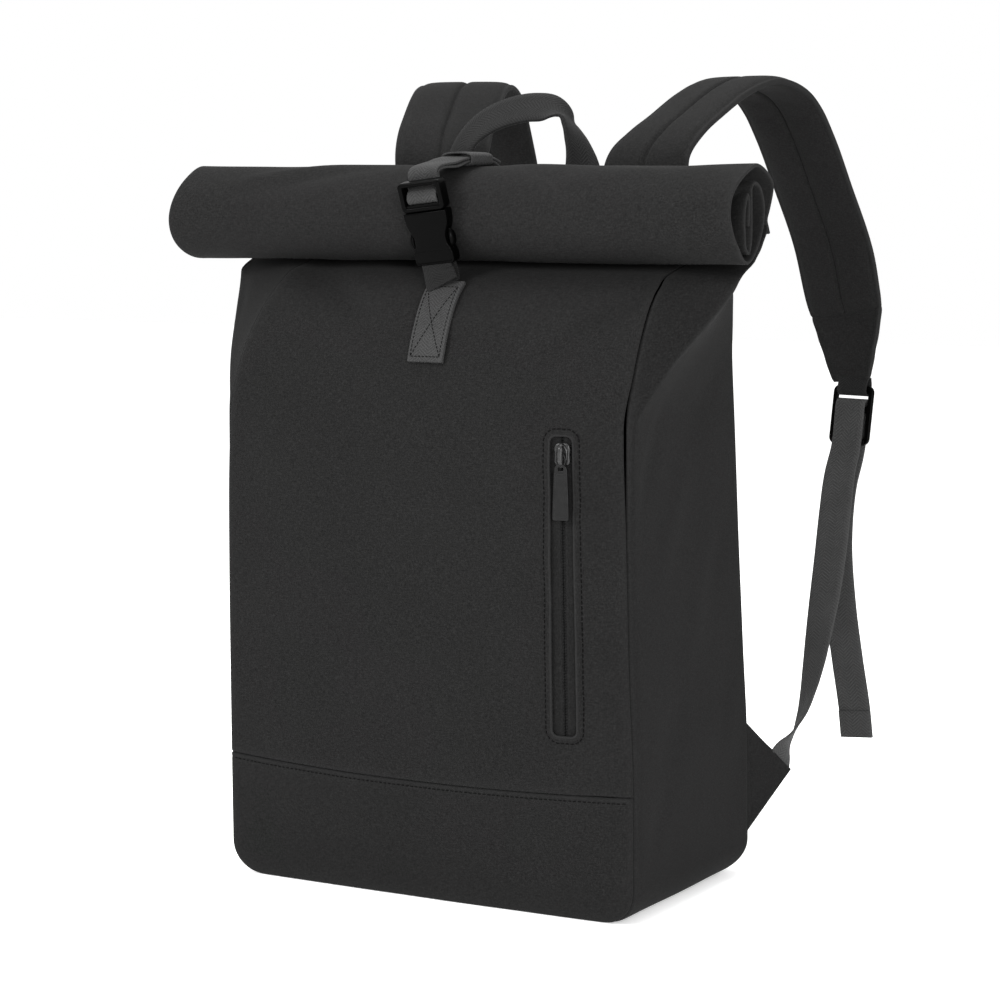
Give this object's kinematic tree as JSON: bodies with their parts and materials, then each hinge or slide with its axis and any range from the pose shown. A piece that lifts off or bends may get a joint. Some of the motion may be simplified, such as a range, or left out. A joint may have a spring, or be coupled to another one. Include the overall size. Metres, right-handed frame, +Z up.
{
  "type": "laptop backpack",
  "caption": "Upright roll-top backpack with a tapered box body, rolled mouth held by a front buckle strap, a slim front zip pocket, a grab handle and padded shoulder straps.",
  "frame": {"origin": "centre of the base, on the surface the pack stands on", "axes": "+Z up, the front faces -Y, the wearer's back is towards +Y, +X is to the right of someone facing the front"},
  "size_m": [0.4, 0.3716, 0.5297],
  "materials": {
    "fabric": "matt",
    "webbing": "woven webbing",
    "plastic": "smooth moulded",
    "zip": "matt tape and coil",
    "metal": "dark satin"
  },
  "bodies": {
    "pack": {"front_panel": "fabric", "front_band": "fabric", "side_panel_right": "fabric", "side_panel_left": "fabric", "back_panel": "fabric", "rear_yoke": "fabric", "base_panel": "fabric", "roll_top": "fabric", "shoulder_pad_right": "fabric", "shoulder_pad_left": "fabric", "strap_end_right": "fabric", "strap_end_left": "fabric", "corner_tab_right": "fabric", "corner_tab_left": "fabric", "strap_tab": "webbing", "buckle_web": "webbing", "top_strap": "webbing", "strap_keeper": "webbing", "grab_handle": "webbing", "lock_loop_right": "webbing", "lock_loop_left": "webbing", "adjuster_web_right": "webbing", "adjuster_web_left": "webbing", "buckle_female": "plastic", "buckle_male": "plastic", "ladder_lock_right": "plastic", "ladder_lock_left": "plastic", "zip_tape": "zip", "zip_coil": "zip", "zip_slider": "metal"},
    "puller": {"zip_puller": "metal"}
  },
  "joints": [
    {"name": "puller_swing", "type": "hinge", "parent": "pack", "child": "puller", "pos_m": [0.10473, -0.09578, 0.29099], "axis": [-0.9971, -0.0758, 0], "range_deg": [0, 160]}
  ]
}
